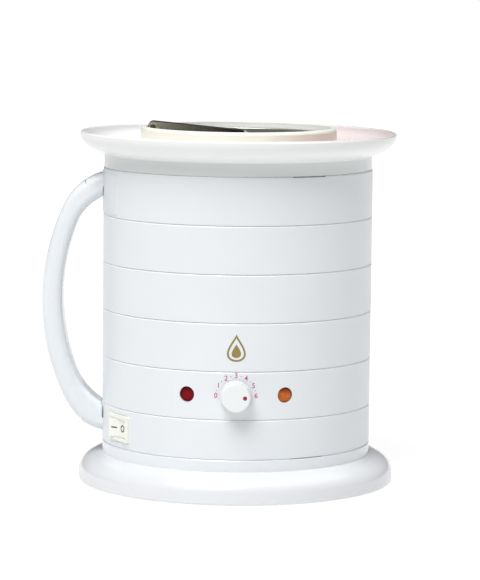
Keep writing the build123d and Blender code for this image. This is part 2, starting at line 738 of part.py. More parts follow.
# the whole bar, before its ends are shared between the grip and the brackets
with BuildPart() as grip_blank:
    with BuildSketch(Plane.XZ.offset(-GRIP_WIDE / 2)):
        with BuildLine():
            outer_end = arc_chain(OUTER_START, OUTER_HEADING, OUTER_ARCS)
            Line(outer_end, OUTER_ROOT)
            inner_end = arc_chain(INNER_START, INNER_HEADING, INNER_ARCS)
            Line(inner_end, OUTER_ROOT)
            Polyline(INNER_START, INNER_ROOT, OUTER_START)
        make_face()
    extrude(amount=GRIP_WIDE)
    for end in (0, -1):
        side_face = grip_blank.faces().sort_by(Axis.Y)[end]
        long_edges = [
            edge for edge in side_face.edges() if edge.center().X < GRIP_ROOT_X - 1.0
        ]
        fillet(long_edges, GRIP_ROUND)

handle_screw_places = ((HANDLE_HIGH_Z, SCREW_REACH_HIGH), (HANDLE_LOW_Z, SCREW_REACH_LOW))

with BuildPart() as handle_grip:
    add(grip_blank.part)
    with BuildSketch(Plane.XY):
        Circle(GRIP_END_R)
    extrude(amount=HIGH_BEYOND, mode=Mode.SUBTRACT)
    # flats where the two brackets lie on the grip's ends
    with BuildSketch(Plane.XZ.offset(-GRIP_WIDE)):
        for outline in (
            wedge(HIGH_STEP, HIGH_FLAT, HIGH_BEYOND, 0),
            wedge(LOW_STEP, LOW_FLAT, LOW_BEYOND, 0),
        ):
            with BuildLine():
                Polyline(outline, close=True)
            make_face()
    extrude(amount=2 * GRIP_WIDE, mode=Mode.SUBTRACT)
    # pilot holes for the two screws
    for height, reach in handle_screw_places:
        with BuildSketch(outward(HANDLE_AZ, BARREL_R, height)):
            Circle(HANDLE_SCREW_R)
        extrude(amount=reach + PILOT_EXTRA, mode=Mode.SUBTRACT)


def saddle_pad(low, high, half_angle, corners):
    """A thin curved plate on the barrel's left, with its own corner radii below and above."""
    pad_out_r = BARREL_R + PAD_THICK
    with BuildPart() as pad:
        with BuildSketch(Plane.YZ) as outline:
            with Locations((0, (low + high) / 2)):
                Rectangle(2 * pad_out_r * sin(radians(half_angle)), high - low)
            fillet(outline.vertices().group_by(Axis.Z)[0], corners[0])
            fillet(outline.vertices().group_by(Axis.Z)[-1], corners[1])
        extrude(amount=-2 * BARREL_R)
        with BuildSketch(Plane.XY.offset(low)):
            Circle(pad_out_r)
            Circle(BARREL_R, mode=Mode.SUBTRACT)
        extrude(amount=high - low, mode=Mode.INTERSECT)
    return pad


def handle_bracket(step, flat, beyond, screw_z, pad):
    """A wedge over the grip's end, a pad on the barrel and a boss round the screw."""
    with BuildPart() as bracket:
        add(grip_blank.part)
        with BuildSketch(Plane.XZ.offset(-GRIP_WIDE)):
            with BuildLine():
                Polyline(wedge(step, flat, beyond, STEP_GAP), close=True)
            make_face()
        extrude(amount=2 * GRIP_WIDE, mode=Mode.INTERSECT)
        add(pad.part)
        with BuildSketch(outward(HANDLE_AZ, BARREL_R - BOSS_SINK, screw_z)):
            Circle(BOSS_R)
        extrude(amount=GRIP_STAND_OFF + BOSS_OUT)
        with BuildSketch(Plane.XY):
            Circle(BARREL_R)
        extrude(amount=HIGH_BEYOND, mode=Mode.SUBTRACT)
        with BuildSketch(outward(HANDLE_AZ, BARREL_R - BOSS_SINK, screw_z)):
            Circle(HANDLE_SCREW_R + HOLE_GAP)
        extrude(amount=GRIP_STAND_OFF + BOSS_HOLE_OUT, mode=Mode.SUBTRACT)
    return bracket


upper_bracket = handle_bracket(
    HIGH_STEP, HIGH_FLAT, HIGH_BEYOND, HANDLE_HIGH_Z, saddle_pad(*HIGH_PAD, HIGH_PAD_CORNERS)
)
lower_bracket = handle_bracket(
    LOW_STEP, LOW_FLAT, LOW_BEYOND, HANDLE_LOW_Z, saddle_pad(*LOW_PAD, LOW_PAD_CORNERS)
)

with BuildPart() as handle_screws:
    for height, reach in handle_screw_places:
        with BuildSketch(outward(HANDLE_AZ, BARREL_IN_R - HEAD_GAP - NUT_HEAD_THICK, height)):
            Circle(NUT_HEAD_R)
        extrude(amount=NUT_HEAD_THICK)
        with BuildSketch(outward(HANDLE_AZ, BARREL_IN_R - HEAD_GAP, height)):
            Circle(HANDLE_SCREW_R - 0.02)
        extrude(amount=WALL + 0.2 + reach)

# ---- Knob, spindle and thermostat ---------------------------------------------------

with BuildPart() as control_knob:
    with BuildSketch(outward(FRONT, KNOB_BACK, CONTROL_Z)):
        Circle(KNOB_R)
    with BuildSketch(outward(FRONT, KNOB_BACK + KNOB_DEPTH, CONTROL_Z)):
        Circle(KNOB_FACE_R)
    loft()
    fillet(control_knob.faces().sort_by(Axis.Y)[0].edges(), KNOB_EDGE)
    with BuildSketch(outward(FRONT, KNOB_BACK, CONTROL_Z)):
        Circle(KNOB_HOLLOW_R)
    extrude(amount=KNOB_HOLLOW, mode=Mode.SUBTRACT)
    with BuildSketch(outward(FRONT, KNOB_BACK, CONTROL_Z)):
        Circle(SPINDLE_R + 0.02)
        with Locations((0, SPINDLE_R + D_FLAT)):
            Rectangle(3 * SPINDLE_R, 2 * SPINDLE_R, mode=Mode.SUBTRACT)
    extrude(amount=SPINDLE_TIP - KNOB_BACK + HOLE_GAP, mode=Mode.SUBTRACT)
    # pocket for the pointer dot
    with BuildSketch(outward(FRONT, KNOB_BACK + KNOB_DEPTH - DOT_DEEP, CONTROL_Z)):
        with Locations((DOT_PLACE, 0)):
            Circle(DOT_R)
    extrude(amount=2 * DOT_DEEP, mode=Mode.SUBTRACT)

with BuildPart() as pointer_dot:
    with BuildSketch(outward(FRONT, KNOB_BACK + KNOB_DEPTH - DOT_DEEP, CONTROL_Z)):
        with Locations((DOT_PLACE, 0)):
            Circle(DOT_R)
    extrude(amount=DOT_DEEP + DOT_PROUD)

with BuildPart() as thermostat_spindle:
    with BuildSketch(outward(FRONT, THERMO_BACK + SPINDLE_IN, CONTROL_Z)):
        Circle(SPINDLE_R)
    extrude(amount=KNOB_BACK + KNOB_HOLLOW - THERMO_BACK - SPINDLE_IN)
    with BuildSketch(outward(FRONT, KNOB_BACK + KNOB_HOLLOW, CONTROL_Z)):
        Circle(SPINDLE_R)
        with Locations((0, SPINDLE_R + D_FLAT)):
            Rectangle(3 * SPINDLE_R, 2 * SPINDLE_R, mode=Mode.SUBTRACT)
    extrude(amount=SPINDLE_TIP - KNOB_BACK - KNOB_HOLLOW)

with BuildPart() as thermostat:
    with BuildSketch(outward(FRONT, THERMO_BACK, CONTROL_Z)):
        RectangleRounded(THERMO_SIZE, THERMO_SIZE, THERMO_CORNER)
    extrude(amount=THERMO_FRONT - THERMO_BACK)
    with BuildSketch(outward(FRONT, THERMO_FRONT, CONTROL_Z)):
        Circle(FLANGE_R)
    extrude(amount=FLANGE_FRONT - THERMO_FRONT)
    with BuildSketch(outward(FRONT, FLANGE_FRONT, CONTROL_Z)):
        Circle(BUSH_R)
    extrude(amount=BUSH_END - FLANGE_FRONT)
    with BuildSketch(outward(FRONT, THERMO_BACK + SPINDLE_IN - SPINDLE_CLEAR, CONTROL_Z)):
        Circle(SPINDLE_R + SPINDLE_GAP)
    extrude(amount=BUSH_END, mode=Mode.SUBTRACT)
    # two spade terminals on the back
    with BuildSketch(outward(FRONT, THERMO_BACK - TERMINAL_LONG, CONTROL_Z)):
        with GridLocations(THERMO_SPADE_PITCH, THERMO_SPADE_PITCH, 2, 1):
            Rectangle(*THERMO_SPADE)
    extrude(amount=TERMINAL_LONG)

with BuildPart() as thermostat_nut:
    with BuildSketch(outward(FRONT, BARREL_R + 0.05, CONTROL_Z)):
        RegularPolygon(NUT_R, 6)
        Circle(BUSH_R + 0.02, mode=Mode.SUBTRACT)
    extrude(amount=NUT_THICK)

# ---- Pilot lamps --------------------------------------------------------------------

holder_back = LENS_BACK - HOLDER_LONG


def lamp_parts(azimuth):
    """One pilot lamp: a domed lens in the barrel's opening and the holder behind it."""
    with BuildPart() as lens:
        with BuildSketch(outward(azimuth, LENS_BACK, CONTROL_Z)):
            Circle(LENS_FLANGE_R)
        extrude(amount=LENS_FLANGE)
        with BuildSketch(outward(azimuth, LENS_BACK + LENS_FLANGE, CONTROL_Z)):
            Circle(LAMP_HOLE_R - HOLE_GAP)
        extrude(amount=LENS_DOME)
        fillet(lens.faces().sort_by(outward_axis(azimuth))[-1].edges(), LENS_ROUND)
        with BuildSketch(outward(azimuth, LENS_BACK, CONTROL_Z)):
            Circle(LENS_HOLLOW_R)
        extrude(amount=LENS_HOLLOW, mode=Mode.SUBTRACT)
    with BuildPart() as holder:
        with BuildSketch(outward(azimuth, holder_back, CONTROL_Z)):
            Circle(HOLDER_R)
        extrude(amount=HOLDER_LONG)
        with BuildSketch(outward(azimuth, holder_back + HOLDER_WALL, CONTROL_Z)):
            Circle(HOLDER_IN_R)
        extrude(amount=HOLDER_LONG - HOLDER_WALL, mode=Mode.SUBTRACT)
        with BuildSketch(outward(azimuth, holder_back - TAB_LONG, CONTROL_Z)):
            with GridLocations(TAB_PITCH, TAB_PITCH, 2, 1):
                Rectangle(*TAB_SIZE)
        extrude(amount=TAB_LONG)
    with BuildPart() as bulb:
        with BuildSketch(outward(azimuth, holder_back + HOLDER_WALL, CONTROL_Z)):
            Circle(BULB_R)
        extrude(amount=BULB_LONG)
        fillet(bulb.faces().sort_by(outward_axis(azimuth))[-1].edges(), BULB_ROUND)
    return lens, holder, bulb


red_lens, red_lamp_holder, red_bulb = lamp_parts(FRONT - LAMP_SPREAD)
amber_lens, amber_lamp_holder, amber_bulb = lamp_parts(FRONT + LAMP_SPREAD)
with BuildPart() as neon_bulbs:
    add(red_bulb.part)
    add(amber_bulb.part)

# ---- Rocker switch ------------------------------------------------------------------

pivot_distance = SWITCH_SEAT - PIVOT_IN
floor_distance = pivot_distance - MOUTH_DEEP

with BuildPart() as switch_housing:
    with BuildSketch(outward(SWITCH_AZ, SWITCH_SEAT, SWITCH_Z)):
        RectangleRounded(BEZEL_LONG, BEZEL_HIGH, BEZEL_CORNER)
    extrude(amount=BEZEL_THICK)
    fillet(switch_housing.faces().sort_by(outward_axis(SWITCH_AZ))[-1].edges(), BEZEL_ROUND)
    with BuildSketch(outward(SWITCH_AZ, SWITCH_SEAT - HOUSING_DEEP, SWITCH_Z)):
        Rectangle(HOUSING_LONG, HOUSING_HIGH)
    extrude(amount=HOUSING_DEEP)
    with BuildSketch(outward(SWITCH_AZ, floor_distance, SWITCH_Z)):
        Rectangle(MOUTH_LONG, MOUTH_HIGH)
    extrude(amount=HOUSING_DEEP, mode=Mode.SUBTRACT)
    pivot_place = outward(SWITCH_AZ, pivot_distance, SWITCH_Z).origin
    with BuildSketch(Plane(origin=pivot_place, z_dir=(0, 0, 1))):
        Circle(SWITCH_PIN_R + SWITCH_PIN_GAP)
    extrude(amount=ROCKER_HIGH / 2 + PIN_SHOULDER + 0.2, both=True, mode=Mode.SUBTRACT)

# The rocker is drawn in the level plane through its pivot, tilted to the off position:
# local x runs to the right along the wall, local y points out of it.
tilt_az = radians(SWITCH_AZ + ROCKER_TILT)
rocker_plane = Plane(
    origin=pivot_place, x_dir=(-sin(tilt_az), cos(tilt_az), 0), z_dir=(0, 0, -1)
)

with BuildPart() as switch_rocker:
    with BuildSketch(rocker_plane):
        with BuildLine():
            Polyline(
                (-ROCKER_HALF, ROCKER_END),
                (0, ROCKER_MID),
                (ROCKER_HALF, ROCKER_END),
                (ROCKER_HALF - ROCKER_NARROW, 0),
                (ROCKER_KEEL[0], -ROCKER_KEEL[1]),
                (-ROCKER_KEEL[0], -ROCKER_KEEL[1]),
                (-ROCKER_HALF + ROCKER_NARROW, 0),
                close=True,
            )
        make_face()
    extrude(amount=ROCKER_HIGH / 2, both=True)
    with BuildSketch(Plane(origin=pivot_place, z_dir=(0, 0, 1))):
        Circle(SWITCH_PIN_R)
    extrude(amount=ROCKER_HIGH / 2 + PIN_SHOULDER, both=True)

with BuildPart() as switch_terminals:
    spade_start = SWITCH_SEAT - HOUSING_DEEP - TERMINAL_LONG
    with BuildSketch(outward(SWITCH_AZ, spade_start, SWITCH_Z)):
        with GridLocations(*TERMINAL_PITCH, 2, 2):
            Rectangle(SPADE_THICK, SPADE_WIDE)
    extrude(amount=TERMINAL_LONG)

# ---- Cord inlet and terminal block --------------------------------------------------

with BuildPart() as cord_gland:
    with BuildSketch(outward(GLAND_AZ, BARREL_R, GLAND_Z)):
        Circle(GLAND_FLANGE_R)
    extrude(amount=GLAND_FLANGE)
    fillet(cord_gland.faces().sort_by(Axis.Y)[-1].edges(), GLAND_ROUND)
    with BuildSketch(outward(GLAND_AZ, BARREL_IN_R - GLAND_IN, GLAND_Z)):
        Circle(GLAND_R)
    extrude(amount=GLAND_IN + WALL)
    with BuildSketch(outward(GLAND_AZ, BARREL_IN_R - GLAND_IN - GLAND_BORE_PAST, GLAND_Z)):
        Circle(GLAND_BORE_R)
    extrude(amount=2 * GLAND_IN, mode=Mode.SUBTRACT)

with BuildPart() as gland_nut:
    with BuildSketch(outward(GLAND_AZ, BARREL_IN_R - GLAND_NUT_IN, GLAND_Z)):
        RegularPolygon(GLAND_NUT_R, 6)
        Circle(GLAND_R + 0.02, mode=Mode.SUBTRACT)
    extrude(amount=GLAND_NUT_THICK)

with BuildPart() as terminal_block:
    with BuildSketch(Plane.XY.offset(WEB_TOP)):
        with PolarLocations(BLOCK_R, 1, start_angle=BLOCK_AZ):
            Rectangle(*BLOCK_SIZE)
            with Locations([(0, way) for way in WAYS]):
                Circle(WAY_R, mode=Mode.SUBTRACT)
    extrude(amount=BLOCK_HIGH)
    with BuildSketch(Plane.XY.offset(WEB_TOP)):
        with PolarLocations(BLOCK_R, 1, start_angle=BLOCK_AZ):
            Rectangle(*BLOCK_SIZE)
    extrude(amount=BLOCK_FLOOR)

with BuildPart() as terminal_screws:
    with BuildSketch(Plane.XY.offset(WEB_TOP + BLOCK_FLOOR)):
        with PolarLocations(BLOCK_R, 1, start_angle=BLOCK_AZ):
            with Locations([(0, way) for way in WAYS]):
                Circle(BLOCK_SCREW_R)
    extrude(amount=BLOCK_SCREW_LONG)
    with BuildSketch(Plane.XY.offset(WEB_TOP + BLOCK_FLOOR + BLOCK_SCREW_LONG - 1)):
        with PolarLocations(BLOCK_R, 1, start_angle=BLOCK_AZ):
            with Locations([(0, way) for way in WAYS]):
                Rectangle(*DRIVER_SLOT)
    extrude(amount=1, mode=Mode.SUBTRACT)

# ---- Heater and its insulation ------------------------------------------------------

clamp_start = CLAMP_AZ + CLAMP_GAP / 2
clamp_arc = 360 - CLAMP_GAP
heater_in_r = WELL_R + HEATER_GAP
clamp_in_r = heater_in_r + HEATER_THICK + HEATER_GAP
clamp_out_r = clamp_in_r + CLAMP_THICK

heater_band = tube(
    heater_in_r, heater_in_r + HEATER_THICK, HEATER_LOW, HEATER_HIGH, clamp_start, clamp_arc
)

with BuildPart() as heater_clamp:
    add(tube(clamp_in_r, clamp_out_r, CLAMP_LOW, CLAMP_HIGH, clamp_start, clamp_arc).part)
    for lug_az in (CLAMP_AZ - CLAMP_GAP / 2 - LUG_ARC, CLAMP_AZ + CLAMP_GAP / 2):
        add(tube(clamp_in_r, LUG_OUT_R, CLAMP_LOW, CLAMP_HIGH, lug_az, LUG_ARC).part)
    clamp_mid = (LUG_OUT_R + clamp_out_r) / 2
    clamp_across = radians(CLAMP_AZ)
    screw_place = outward(CLAMP_AZ, clamp_mid, (CLAMP_LOW + CLAMP_HIGH) / 2).origin
    clamp_screw_plane = Plane(
        origin=screw_place, x_dir=(0, 0, 1), z_dir=(-sin(clamp_across), cos(clamp_across), 0)
    )
    with BuildSketch(clamp_screw_plane):
        Circle(LUG_HOLE_R)
    extrude(amount=CLAMP_SCREW_HALF, both=True, mode=Mode.SUBTRACT)

with BuildPart() as clamp_screw:
    with BuildSketch(clamp_screw_plane.offset(-CLAMP_SCREW_HALF)):
        Circle(CLAMP_SCREW_R)
    extrude(amount=2 * CLAMP_SCREW_HALF)
    with BuildSketch(clamp_screw_plane.offset(CLAMP_SCREW_HALF - CLAMP_HEAD_THICK)):
        Circle(CLAMP_HEAD_R)
    extrude(amount=CLAMP_HEAD_THICK)
    with BuildSketch(clamp_screw_plane.offset(-CLAMP_SCREW_HALF)):
        RegularPolygon(CLAMP_HEAD_R, 6)
    extrude(amount=CLAMP_HEAD_THICK)

insulation_sleeve = tube(
    *INSULATION, CLAMP_AZ + INSULATION_GAP / 2, 360 - INSULATION_GAP
)
heat_shield = tube(*SHIELD, DISH_UNDER)
well_under = WELL_FLOOR - WELL_WALL

with BuildPart() as thermal_cutout:
    with BuildSketch(Plane.XY.offset(well_under - CUTOUT_CAP[1])):
        Circle(CUTOUT_CAP[0])
    extrude(amount=CUTOUT_CAP[1])
    with BuildSketch(Plane.XY.offset(well_under - CUTOUT_CAP[1] - CUTOUT_BASE[1])):
        Circle(CUTOUT_BASE[0])
    extrude(amount=CUTOUT_BASE[1])

with BuildPart() as sensor_bulb:
    sensor_place = outward(SENSOR_AZ, WELL_R + SENSOR_R + 0.1, 0).origin
    with BuildSketch(Plane.XY.offset(SENSOR_LOW)):
        with Locations((sensor_place.X, sensor_place.Y)):
            Circle(SENSOR_R)
    extrude(amount=SENSOR_LONG)
    fillet(sensor_bulb.edges().filter_by(GeomType.CIRCLE), SENSOR_ROUND)

# ---- Write every piece --------------------------------------------------------------

pieces = {
    "foot_ring": foot_ring,
    "base_plate": base_plate,
    "base_screws": base_screws,
    "base_skirt": base_skirt,
    "body_shell": body_shell,
    "drip_dish": drip_dish,
    "inner_ring": inner_ring,
    "heating_well": heating_well,
    "heater_band": heater_band,
    "heater_clamp": heater_clamp,
    "clamp_screw": clamp_screw,
    "insulation_sleeve": insulation_sleeve,
    "heat_shield": heat_shield,
    "thermal_cutout": thermal_cutout,
    "sensor_bulb": sensor_bulb,
    "thermostat": thermostat,
    "thermostat_nut": thermostat_nut,
    "thermostat_spindle": thermostat_spindle,
    "control_knob": control_knob,
    "pointer_dot": pointer_dot,
    "red_lens": red_lens,
    "red_lamp_holder": red_lamp_holder,
    "amber_lens": amber_lens,
    "amber_lamp_holder": amber_lamp_holder,
    "neon_bulbs": neon_bulbs,
    "switch_housing": switch_housing,
    "switch_rocker": switch_rocker,
    "switch_terminals": switch_terminals,
    "cord_gland": cord_gland,
    "gland_nut": gland_nut,
    "terminal_block": terminal_block,
    "terminal_screws": terminal_screws,
    "handle_grip": handle_grip,
    "handle_upper_bracket": upper_bracket,
    "handle_lower_bracket": lower_bracket,
    "handle_screws": handle_screws,
    "wax_container": wax_container,
    "hinge_bracket": hinge_bracket,
    "bracket_rivets": bracket_rivets,
    "hinge_pin": hinge_pin,
    "folding_handle": folding_handle,
}
os.makedirs("parts", exist_ok=True)
for name, piece in pieces.items():
    piece.part.label = name
    export_step(piece.part, f"parts/{name}.step")
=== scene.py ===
import json
from math import atan, cos, pi, radians, sin, tau

import bmesh
import bpy
from mathutils import Matrix, Vector


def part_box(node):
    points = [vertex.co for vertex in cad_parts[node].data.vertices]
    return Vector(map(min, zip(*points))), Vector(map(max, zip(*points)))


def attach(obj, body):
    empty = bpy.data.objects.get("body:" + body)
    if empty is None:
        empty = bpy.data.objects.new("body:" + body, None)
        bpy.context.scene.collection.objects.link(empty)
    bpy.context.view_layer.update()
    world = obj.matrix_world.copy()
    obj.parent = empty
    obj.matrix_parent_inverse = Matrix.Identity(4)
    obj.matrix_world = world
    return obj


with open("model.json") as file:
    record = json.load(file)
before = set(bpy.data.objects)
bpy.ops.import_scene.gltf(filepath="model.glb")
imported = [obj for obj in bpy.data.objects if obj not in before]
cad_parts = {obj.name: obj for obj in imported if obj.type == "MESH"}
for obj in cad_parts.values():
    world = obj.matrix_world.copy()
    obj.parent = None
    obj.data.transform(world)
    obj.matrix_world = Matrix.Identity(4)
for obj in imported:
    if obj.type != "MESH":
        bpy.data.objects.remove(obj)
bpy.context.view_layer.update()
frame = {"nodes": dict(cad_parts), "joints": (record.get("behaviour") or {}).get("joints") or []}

# The looks of a salon wax warmer. Metres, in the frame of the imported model: +Z up, the
# front faces -Y, and the origin is on the barrel's axis at the floor.

MM = 0.001
nodes = frame["nodes"]
joints = {joint["name"]: joint for joint in frame["joints"]}
barrel_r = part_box("body_shell")[1].y
dial_z = joints["knob_turn"]["pos_m"][2]

# ---- Camera and light ---------------------------------------------------------------

CAMERA_DISTANCE = 1.672
CAMERA_ELEVATION = radians(7.27)
CAMERA_ROLL = radians(0.61)
CAMERA_LENS = 184.9
CAMERA_SENSOR = 36.0
CAMERA_NEAR = 0.05
AIM_HEIGHT = 0.0894  # the camera's distance and elevation are measured from here
AIM_RIGHT = atan(0.00101)  # the axis stands this far left of the middle of the view
AIM_UP = atan(0.0102)  # and the point at AIM_HEIGHT this far below it


def add_camera():
    """The camera looks down a little at the front; the object stands low in the view."""
    camera = bpy.data.objects.new("camera", bpy.data.cameras.new("camera"))
    camera.data.lens = CAMERA_LENS
    camera.data.sensor_width = CAMERA_SENSOR
    camera.data.clip_start = CAMERA_NEAR
    camera.location = (
        0,
        -CAMERA_DISTANCE * cos(CAMERA_ELEVATION),
        AIM_HEIGHT + CAMERA_DISTANCE * sin(CAMERA_ELEVATION),
    )
    pitch = pi / 2 - CAMERA_ELEVATION + AIM_UP
    turn = Matrix.Rotation(-AIM_RIGHT, 4, "Z") @ Matrix.Rotation(pitch, 4, "X")
    camera.rotation_euler = (turn @ Matrix.Rotation(CAMERA_ROLL, 4, "Z")).to_euler()
    bpy.context.scene.collection.objects.link(camera)
    bpy.context.scene.camera = camera


def add_sun(name, place, spread, strength):
    """A soft source that shines from a place towards the origin, its width in degrees."""
    light = bpy.data.lights.new(name, "SUN")
    light.angle = radians(spread)
    light.energy = strength
    holder = bpy.data.objects.new(name, light)
    holder.location = place
    holder.rotation_euler = (-Vector(place)).to_track_quat("-Z", "Y").to_euler()
    bpy.context.scene.collection.objects.link(holder)


def add_world(colour, strength):
    """An even, dim surround of one colour."""
    world = bpy.data.worlds.new("studio")
    world.use_nodes = True
    background = world.node_tree.nodes["Background"]
    background.inputs["Color"].default_value = (*colour, 1)
    background.inputs["Strength"].default_value = strength
    bpy.context.scene.world = world


# ---- Material building --------------------------------------------------------------


class Surface:
    """One material's node tree, with short calls for the nodes used here."""

    def __init__(self, name, **constants):
        self.material = bpy.data.materials.new(name)
        self.material.use_nodes = True
        self.tree = self.material.node_tree
        self.shader = self.tree.nodes["Principled BSDF"]
        self.place = self.node("ShaderNodeTexCoord").outputs["Object"]
        for socket, value in constants.items():
            self.shader.inputs[socket.replace("_", " ")].default_value = value

    def node(self, kind, **settings):
        """A new node with its own settings, such as the operation of a maths node."""
        made = self.tree.nodes.new(kind)
        for key, value in settings.items():
            setattr(made, key, value)
        return made

    def feed(self, socket, value):
        """A socket takes a number, a colour or another node's output."""
        if isinstance(value, bpy.types.NodeSocket):
            self.tree.links.new(value, socket)
        else:
            socket.default_value = value

    def stretched(self, stretch):
        """The piece's own coordinates, scaled along X, Y and Z."""
        mapping = self.node("ShaderNodeMapping")
        self.feed(mapping.inputs["Vector"], self.place)
        mapping.inputs["Scale"].default_value = stretch
        return mapping.outputs["Vector"]

    def noise(self, per_metre, detail=3.0, stretch=None):
        """A cloud of values with so many lumps per metre, finer for more detail."""
        made = self.node("ShaderNodeTexNoise")
        self.feed(made.inputs["Vector"], self.stretched(stretch) if stretch else self.place)
        made.inputs["Scale"].default_value = per_metre
        made.inputs["Detail"].default_value = detail
        return made.outputs["Fac"]

    def ramp(self, value, start, end, low=0.0, high=1.0):
        """A value's stretch from start to end, spread from low to high and clamped."""
        made = self.node("ShaderNodeMapRange")
        for socket, given in zip(made.inputs, (value, start, end, low, high)):
            self.feed(socket, given)
        return made.outputs["Result"]

    def math(self, operation, first, second=0.0):
        """One step of arithmetic on numbers or other nodes' outputs."""
        made = self.node("ShaderNodeMath", operation=operation)
        self.feed(made.inputs[0], first)
        self.feed(made.inputs[1], second)
        return made.outputs["Value"]

    def axis(self, name):
        """The piece's own X, Y or Z coordinate, in metres."""
        made = self.node("ShaderNodeSeparateXYZ")
        self.feed(made.inputs["Vector"], self.place)
        return made.outputs[name]

    def radius(self):
        """Distance from the barrel's axis."""
        made = self.node("ShaderNodeVectorMath", operation="LENGTH")
        self.feed(made.inputs[0], self.stretched((1, 1, 0)))
        return made.outputs["Value"]

    def facing(self, name):
        """One component of the surface's normal in the piece's own axes."""
        turned = self.node(
            "ShaderNodeVectorTransform",
            vector_type="NORMAL",
            convert_from="WORLD",
            convert_to="OBJECT",
        )
        self.feed(turned.inputs["Vector"], self.node("ShaderNodeNewGeometry").outputs["Normal"])
        made = self.node("ShaderNodeSeparateXYZ")
        self.feed(made.inputs["Vector"], turned.outputs["Vector"])
        return made.outputs[name]

    def band(self, value, middle, half, soft):
        """1 inside middle +- half, fading to 0 over soft on both sides."""
        away = self.math("ABSOLUTE", self.math("SUBTRACT", value, middle))
        return self.ramp(away, half, half + soft, 1.0, 0.0)

    def blend(self, share, first, second):
        """The first colour where share is 0, the second where it is 1."""
        made = self.node("ShaderNodeMix", data_type="RGBA")
        self.feed(made.inputs["Factor"], share)
        self.feed(made.inputs["A"], first)
        self.feed(made.inputs["B"], second)
        return made.outputs["Result"]

    def bump(self, height, depth, strength, under=None):
        """A normal tilted by a height map of a given depth, on top of another if given."""
        made = self.node("ShaderNodeBump")
        made.inputs["Strength"].default_value = strength
        made.inputs["Distance"].default_value = depth
        self.feed(made.inputs["Height"], height)
        if under is not None:
            self.feed(made.inputs["Normal"], under)
        return made.outputs["Normal"]

    def finish(self, colour, roughness, normal):
        """Connects the three results that every material here has."""
        self.feed(self.shader.inputs["Base Color"], colour)
        self.feed(self.shader.inputs["Roughness"], roughness)
        self.feed(self.shader.inputs["Normal"], normal)
        return self.material


NOISE_SPAN = (0.3, 0.7)  # most of a noise's values lie between these
FINE_GRAIN = 1400.0  # lumps per metre of a moulded surface's orange peel
COARSE_GRAIN = 700.0
BRUSH_GRAIN = 500.0
BRUSH_DEPTH = 0.01 * MM
BRUSH_STRENGTH = 0.4


def opaque(colour):
    """A colour with its alpha."""
    return (*colour, 1)


def shade(colour, factor):
    """A colour made lighter or darker, with its alpha."""
    return opaque(channel * factor for channel in colour)


def moulded(surface, colour, roughness, grain=FINE_GRAIN, wear=0.16):
    """Plastic from a mould: faint mottling, fine orange peel, a few rubbed patches."""
    mottle = surface.ramp(surface.noise(28, detail=4), *NOISE_SPAN)
    body = surface.blend(mottle, opaque(colour), shade(colour, 0.975))
    rubbed = surface.noise(60, detail=4, stretch=(1, 1, 0.35))
    rough = surface.ramp(rubbed, 0.5, 0.8, low=roughness, high=roughness + wear)
    peel = surface.bump(surface.noise(grain, detail=2), depth=0.02 * MM, strength=0.35)
    swell = surface.noise(40, detail=1)
    waves = surface.bump(swell, depth=0.03 * MM, strength=0.08, under=peel)
    return body, rough, waves


def brushed(surface, roughness, spread, stretch=(1, 12, 12)):
    """The roughness and normal of metal with a fine brush across the stretched axes."""
    brush = surface.noise(BRUSH_GRAIN, detail=4, stretch=stretch)
    rough = surface.ramp(brush, *NOISE_SPAN, low=roughness, high=roughness + spread)
    return rough, surface.bump(brush, BRUSH_DEPTH, BRUSH_STRENGTH)


# ---- Materials ----------------------------------------------------------------------

SHELL_WHITE = (0.82, 0.85, 0.875)
CHAMFER_HIGHLIGHT = (0.97, 0.98, 1.0)
GROOVE_SHADE = (0.20, 0.21, 0.22)
GROOVE_SHADE_DEPTH = (0.42 * MM, 0.7 * MM)  # the painted groove shade starts and is full this far below the barrel's face
CHAMFER_DEPTH = 0.24 * MM
CHAMFER_HALF = 0.14 * MM
CHAMFER_SOFT = 0.06 * MM

HELD_Z = 102 * MM  # the middle of the grip's polished stretch
HELD_HALF = 28 * MM
HELD_SOFT = 22 * MM

BASE_WHITE = (0.80, 0.815, 0.84)
SCUFF_GREY = (0.78, 0.78, 0.77)
BASE_COLLAR_Z = (15.6 * MM, 16.6 * MM)  # the collar starts between these heights
SCUFF_Z = (0.8 * MM, 4 * MM)  # and the scuffs fade out between these

DISH_WHITE = (0.90, 0.91, 0.90)
DISH_INSIDE_LIT = (0.97, 0.97, 0.98)
SALMON_TINT = (0.46, 0.16, 0.12)
COLLAR_SHADE = (0.74, 0.77, 0.765)
INSIDE_FACING = (0.02, 0.12)  # faces that look up at least this much are the dish's inside
PINK_R = (66 * MM, 88 * MM)  # the pink tint thins out between these radii
PINK_X = (14 * MM, 52 * MM)  # and builds up between these distances to the right
PINK_THIN = 0.12
DISH_COLLAR_R = (77.2 * MM, 78.2 * MM)
DISH_COLLAR_Z = (182.6 * MM, 183.6 * MM)

RING_CREAM = (0.96, 0.93, 0.82)
CROWN_HIGHLIGHT = (0.96, 0.95, 0.87)
MOUTH_LIGHT = (0.99, 0.99, 0.96)
CROWN_Z = (196 * MM, 198 * MM)
MOUTH_R = (51.8 * MM, 52.6 * MM)

KNOB_WHITE = (0.86, 0.89, 0.89)
DOT_RED = (0.33, 0.008, 0.06)
IVORY = (0.91, 0.92, 0.83)
LENS_RED = (0.24, 0.001, 0.006)
LENS_RED_DEEP = (0.07, 0.0, 0.003)
LENS_AMBER = (0.66, 0.17, 0.03)
LENS_AMBER_DEEP = (0.20, 0.025, 0.005)
BROW_SHADOW_OVER_DIAL = (0.5 * MM, 3.6 * MM)  # painted shadow of the recess: the lenses darken between these heights over the dial
PRISM_GRAIN = 1100

